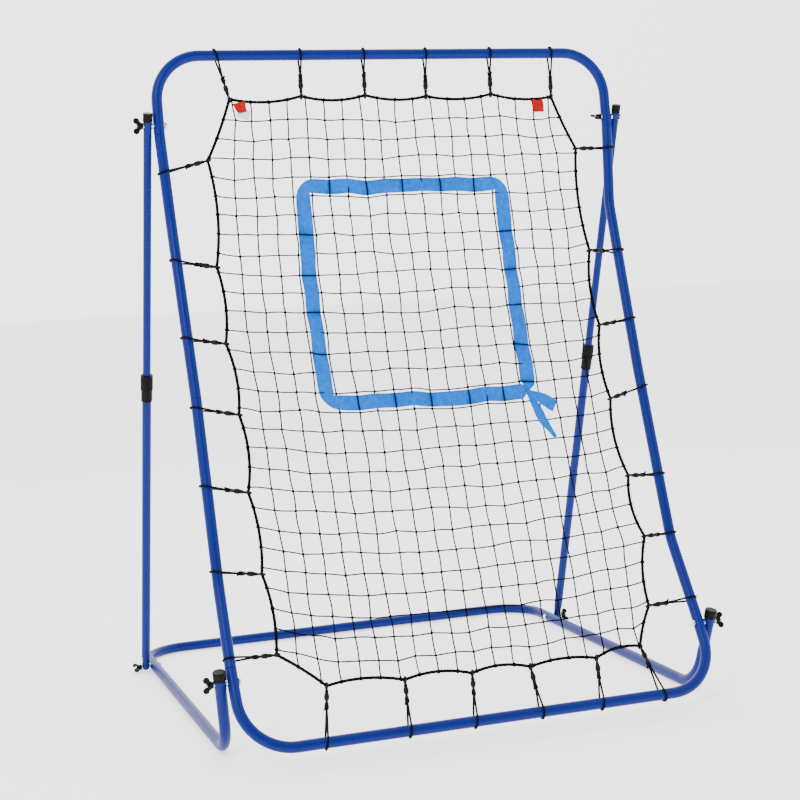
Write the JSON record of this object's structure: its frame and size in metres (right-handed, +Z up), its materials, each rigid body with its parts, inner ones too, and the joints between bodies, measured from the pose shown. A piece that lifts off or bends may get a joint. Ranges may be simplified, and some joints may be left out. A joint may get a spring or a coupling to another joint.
{
  "type": "pitch back rebounder",
  "caption": "Ball rebounder: a knotted net hung by elastic ties in a tilted tube frame, on a U-shaped floor base with telescoping struts.",
  "frame": {"origin": "on the floor, below the centre of the whole object's box", "axes": "+Z up, +X the object's right seen from the front, -Y the front that faces the thrower"},
  "size_m": [1.2322, 1.1732, 1.5451],
  "materials": {
    "blue_paint": "glossy powder coat",
    "black_plastic": "satin moulded",
    "plated_steel": "bright zinc plate",
    "net_cord": "knotted polyester twine",
    "rope": "twisted border rope",
    "elastic": "braided elastic cord",
    "hook_metal": "black coated wire",
    "ribbon": "flat nonwoven ribbon",
    "red_cloth": "plain woven tag",
    "white_cloth": "thin plain tag"
  },
  "bodies": {
    "base": {"base_rail_left": "blue_paint", "base_rail_right": "blue_paint", "base_rear_tube": "blue_paint", "post_cap_left": "black_plastic", "post_cap_right": "black_plastic", "front_pivot_bolts": "plated_steel", "front_washers": "plated_steel", "rear_bolts": "plated_steel", "rear_washers": "plated_steel"},
    "front_frame": {"bottom_rail_tube": "blue_paint", "top_rail_tube": "blue_paint", "lower_side_tube_left": "blue_paint", "lower_side_tube_right": "blue_paint", "upper_side_tube_left": "blue_paint", "upper_side_tube_right": "blue_paint", "net_panel": "net_cord", "net_border_rope": "rope", "strike_zone_ribbon": "ribbon", "red_tag_left": "red_cloth", "red_tag_right": "red_cloth", "white_tag_left": "white_cloth", "elastic_loops_top": "elastic", "elastic_loops_bottom": "elastic", "elastic_loops_left": "elastic", "elastic_loops_right": "elastic", "tie_hooks_top": "hook_metal", "tie_hooks_bottom": "hook_metal", "tie_hooks_left": "hook_metal", "tie_hooks_right": "hook_metal"},
    "strut_lower_left": {"strut_lower_tube_left": "blue_paint", "collar_base_left": "black_plastic"},
    "strut_upper_left": {"strut_upper_tube_left": "blue_paint", "strut_cap_left": "black_plastic", "top_bolt_left": "plated_steel", "top_washers_left": "plated_steel"},
    "twist_lock_left": {"twist_sleeve_left": "black_plastic"},
    "strut_lower_right": {"strut_lower_tube_right": "blue_paint", "collar_base_right": "black_plastic"},
    "strut_upper_right": {"strut_upper_tube_right": "blue_paint", "strut_cap_right": "black_plastic", "top_bolt_right": "plated_steel", "top_washers_right": "plated_steel"},
    "twist_lock_right": {"twist_sleeve_right": "black_plastic"},
    "wing_nut_front_left": {"wing_nut_front_left": "black_plastic"},
    "wing_nut_front_right": {"wing_nut_front_right": "black_plastic"},
    "wing_nut_rear_left": {"wing_nut_rear_left": "black_plastic"},
    "wing_nut_rear_right": {"wing_nut_rear_right": "black_plastic"},
    "wing_nut_top_left": {"wing_nut_top_left": "black_plastic"},
    "wing_nut_top_right": {"wing_nut_top_right": "black_plastic"}
  },
  "joints": [
    {"name": "frame_tilt", "type": "hinge", "parent": "base", "child": "front_frame", "pos_m": [0, -0.48916, 0.17273], "axis": [-1, 0, 0], "range_deg": [-6, 6]},
    {"name": "strut_swing_left", "type": "hinge", "parent": "base", "child": "strut_lower_left", "pos_m": [-0.5835, 0.39584, 0.0125], "axis": [-1, 0, 0], "range_deg": [-4.19, 4.19]},
    {"name": "strut_slide_left", "type": "slide", "parent": "strut_lower_left", "child": "strut_upper_left", "axis": [0, -0.3323, 0.9432], "range_m": [-0.08228, 0.08228]},
    {"name": "twist_left", "type": "hinge", "parent": "strut_lower_left", "child": "twist_lock_left", "pos_m": [-0.5835, 0.12899, 0.76986], "axis": [0, -0.3323, 0.9432], "range_deg": [0, 90]},
    {"name": "strut_swing_right", "type": "hinge", "parent": "base", "child": "strut_lower_right", "pos_m": [0.5835, 0.39584, 0.0125], "axis": [-1, 0, 0], "range_deg": [-4.19, 4.19]},
    {"name": "strut_slide_right", "type": "slide", "parent": "strut_lower_right", "child": "strut_upper_right", "axis": [0, -0.3323, 0.9432], "range_m": [-0.08228, 0.08228]},
    {"name": "twist_right", "type": "hinge", "parent": "strut_lower_right", "child": "twist_lock_right", "pos_m": [0.5835, 0.12899, 0.76986], "axis": [0, -0.3323, 0.9432], "range_deg": [0, 90]},
    {"name": "wing_nut_front_left_spin", "type": "hinge", "parent": "base", "child": "wing_nut_front_left", "pos_m": [-0.6, -0.48916, 0.17273], "axis": [1, 0, 0], "continuous": true},
    {"name": "wing_nut_front_right_spin", "type": "hinge", "parent": "base", "child": "wing_nut_front_right", "pos_m": [0.6, -0.48916, 0.17273], "axis": [1, 0, 0], "continuous": true},
    {"name": "wing_nut_rear_left_spin", "type": "hinge", "parent": "base", "child": "wing_nut_rear_left", "pos_m": [-0.6, 0.39584, 0.0125], "axis": [1, 0, 0], "continuous": true},
    {"name": "wing_nut_rear_right_spin", "type": "hinge", "parent": "base", "child": "wing_nut_rear_right", "pos_m": [0.6, 0.39584, 0.0125], "axis": [1, 0, 0], "continuous": true},
    {"name": "wing_nut_top_left_spin", "type": "hinge", "parent": "strut_upper_left", "child": "wing_nut_top_left", "pos_m": [-0.6, -0.0805, 1.36441], "axis": [1, 0, 0], "continuous": true},
    {"name": "wing_nut_top_right_spin", "type": "hinge", "parent": "strut_upper_right", "child": "wing_nut_top_right", "pos_m": [0.6, -0.0805, 1.36441], "axis": [1, 0, 0], "continuous": true}
  ],
  "couplings": [
    {"joint": "strut_swing_left", "follows": "frame_tilt", "ratio": 0.69015},
    {"joint": "strut_slide_left", "follows": "frame_tilt", "m_per_rad": -0.78094},
    {"joint": "strut_swing_right", "follows": "frame_tilt", "ratio": 0.69015},
    {"joint": "strut_slide_right", "follows": "frame_tilt", "m_per_rad": -0.78094}
  ]
}
